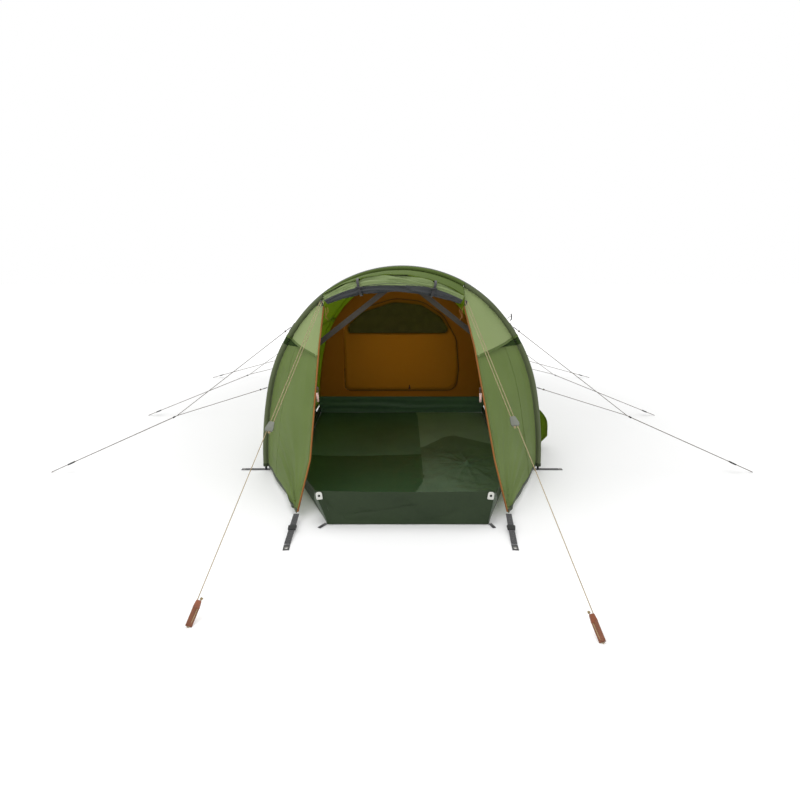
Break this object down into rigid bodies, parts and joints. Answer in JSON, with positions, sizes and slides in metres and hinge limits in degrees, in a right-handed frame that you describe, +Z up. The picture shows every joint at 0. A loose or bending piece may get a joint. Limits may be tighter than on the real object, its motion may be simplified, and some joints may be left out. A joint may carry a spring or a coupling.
{
  "type": "tunnel tent",
  "caption": "Three-hoop tunnel tent, pitched with guy lines: open porch with rolled door, raised groundsheet lip and a hung inner tent with a D-shaped door.",
  "frame": {"origin": "on the ground, at the middle of the pegged outline (strap ends), guy lines left out", "axes": "+X to the right seen from the door, +Y from the door to the rear, +Z up; the door faces -Y"},
  "size_m": [3.753, 4.705, 1.077],
  "materials": {
    "pole_alloy": "dark anodised tube",
    "bare_alloy": "bare alloy",
    "elastic": "elastic core",
    "black_plastic": "moulded black plastic",
    "sleeve_cloth": "dark grey sleeve cloth",
    "fly_cloth": "light green coated polyester",
    "hood_cloth": "lighter green coated polyester",
    "mesh": "fine dark mesh",
    "webbing": "black woven webbing",
    "zip_tape": "orange-brown zip tape and piping",
    "zip_metal": "coated zip slider",
    "grey_webbing": "grey woven tape",
    "brass_ring": "plated eyelet",
    "groundsheet_cloth": "glossy dark green coated cloth",
    "white_tape": "white tape",
    "inner_cloth": "breathable orange inner cloth",
    "guy_cord": "braided tan guy cord",
    "grey_plastic": "moulded grey plastic",
    "rust_plastic": "moulded rust plastic"
  },
  "bodies": {
    "tent": {"hoop_front_pole": "pole_alloy", "hoop_middle_pole": "pole_alloy", "hoop_rear_pole": "pole_alloy", "pole_ferrules": "bare_alloy", "pole_shock_cords": "elastic", "pole_end_caps": "black_plastic", "pole_sleeves": "sleeve_cloth", "fly_porch_bay": "fly_cloth", "fly_sleeping_bay": "fly_cloth", "fly_rear_end": "fly_cloth", "fly_rear_wall": "fly_cloth", "front_panel_left": "fly_cloth", "front_panel_right": "fly_cloth", "vent_hood_left": "hood_cloth", "vent_hood_right": "hood_cloth", "front_brow": "fly_cloth", "low_vent_cowl": "fly_cloth", "vent_mesh_panels": "mesh", "rolled_front_door": "hood_cloth", "door_tie_loops": "webbing", "door_zip_tapes": "zip_tape", "tension_straps": "grey_webbing", "peg_straps": "webbing", "peg_eyelets": "brass_ring", "porch_groundsheet": "groundsheet_cloth", "inner_canopy": "inner_cloth", "inner_floor_tray": "groundsheet_cloth", "inner_front_wall": "inner_cloth", "inner_hangers": "webbing", "guy_cord_left_front": "guy_cord", "guy_cord_right_front": "guy_cord", "guy_cord_left_middle": "guy_cord", "guy_cord_right_middle": "guy_cord", "guy_cord_left_rear": "guy_cord", "guy_cord_right_rear": "guy_cord", "front_guy_cord_left": "guy_cord", "front_guy_cord_right": "guy_cord", "guy_tabs": "webbing", "guy_rings": "black_plastic", "front_guy_peg_fittings": "rust_plastic"},
    "tensioner_left_front_body": {"tensioner_left_front": "black_plastic"},
    "tensioner_left_middle_body": {"tensioner_left_middle": "black_plastic"},
    "tensioner_left_rear_body": {"tensioner_left_rear": "black_plastic"},
    "front_tensioner_left_body": {"front_tensioner_left": "grey_plastic"},
    "ladder_lock_left_body": {"ladder_lock_left": "black_plastic"},
    "door_zip_slider_left_body": {"door_zip_slider_left": "zip_metal"},
    "door_toggle_left_body": {"door_toggle_left": "black_plastic"},
    "tensioner_right_front_body": {"tensioner_right_front": "black_plastic"},
    "tensioner_right_middle_body": {"tensioner_right_middle": "black_plastic"},
    "tensioner_right_rear_body": {"tensioner_right_rear": "black_plastic"},
    "front_tensioner_right_body": {"front_tensioner_right": "grey_plastic"},
    "ladder_lock_right_body": {"ladder_lock_right": "black_plastic"},
    "door_zip_slider_right_body": {"door_zip_slider_right": "zip_metal"},
    "door_toggle_right_body": {"door_toggle_right": "black_plastic"},
    "lip": {"groundsheet_lip": "groundsheet_cloth", "lip_tabs": "white_tape"},
    "inner_door_panel": {"inner_door": "inner_cloth", "inner_door_mesh": "mesh"},
    "inner_zip": {"inner_zip_slider": "zip_metal"}
  },
  "joints": [
    {"name": "tensioner_left_front_slide", "type": "slide", "parent": "tent", "child": "tensioner_left_front_body", "axis": [0.9142, 0.0318, 0.404], "range_m": [-0.03, 0.5]},
    {"name": "tensioner_left_middle_slide", "type": "slide", "parent": "tent", "child": "tensioner_left_middle_body", "axis": [0.9284, 0.0615, 0.3663], "range_m": [-0.03, 0.6]},
    {"name": "tensioner_left_rear_slide", "type": "slide", "parent": "tent", "child": "tensioner_left_rear_body", "axis": [0.965, -0.0055, 0.2624], "range_m": [-0.03, 0.65]},
    {"name": "front_tensioner_left_slide", "type": "slide", "parent": "tent", "child": "front_tensioner_left_body", "axis": [0.1687, 0.7943, 0.5836], "range_m": [0, 0.35]},
    {"name": "ladder_lock_left_slide", "type": "slide", "parent": "tent", "child": "ladder_lock_left_body", "axis": [0.0117, -0.9929, -0.1185], "range_m": [-0.06, 0.07]},
    {"name": "door_zip_slider_left_travel", "type": "slide", "parent": "tent", "child": "door_zip_slider_left_body", "axis": [0.0334, 0.4866, 0.873], "range_m": [-0.26, 0.13]},
    {"name": "door_toggle_left_swivel", "type": "hinge", "parent": "tent", "child": "door_toggle_left_body", "pos_m": [-0.206, -1.36531, 0.97226], "axis": [0, 1, 0], "range_deg": [-80, 80]},
    {"name": "tensioner_right_front_slide", "type": "slide", "parent": "tent", "child": "tensioner_right_front_body", "axis": [-0.9142, 0.0318, 0.404], "range_m": [-0.03, 0.5]},
    {"name": "tensioner_right_middle_slide", "type": "slide", "parent": "tent", "child": "tensioner_right_middle_body", "axis": [-0.9284, 0.0615, 0.3663], "range_m": [-0.03, 0.6]},
    {"name": "tensioner_right_rear_slide", "type": "slide", "parent": "tent", "child": "tensioner_right_rear_body", "axis": [-0.965, -0.0055, 0.2624], "range_m": [-0.03, 0.65]},
    {"name": "front_tensioner_right_slide", "type": "slide", "parent": "tent", "child": "front_tensioner_right_body", "axis": [-0.1682, 0.8096, 0.5623], "range_m": [0, 0.35]},
    {"name": "ladder_lock_right_slide", "type": "slide", "parent": "tent", "child": "ladder_lock_right_body", "axis": [-0.0863, -0.9892, -0.1181], "range_m": [-0.06, 0.07]},
    {"name": "door_zip_slider_right_travel", "type": "slide", "parent": "tent", "child": "door_zip_slider_right_body", "axis": [-0.1291, 0.4828, 0.8661], "range_m": [-0.26, 0.13]},
    {"name": "door_toggle_right_swivel", "type": "hinge", "parent": "tent", "child": "door_toggle_right_body", "pos_m": [0.15, -1.3612, 0.9653], "axis": [0, 1, 0], "range_deg": [-80, 80]},
    {"name": "groundsheet_lip_drop", "type": "hinge", "parent": "tent", "child": "lip", "pos_m": [0, -1.885, 0.001], "axis": [1, 0, 0], "range_deg": [0, 88]},
    {"name": "inner_door_swing", "type": "hinge", "parent": "tent", "child": "inner_door_panel", "pos_m": [-0.421, -0.0665, 0.5], "axis": [0, 0, -1], "range_deg": [0, 80]},
    {"name": "inner_zip_slider_travel", "type": "slide", "parent": "inner_door_panel", "child": "inner_zip", "axis": [1, 0, 0], "range_m": [-0.38, 0.24]}
  ]
}
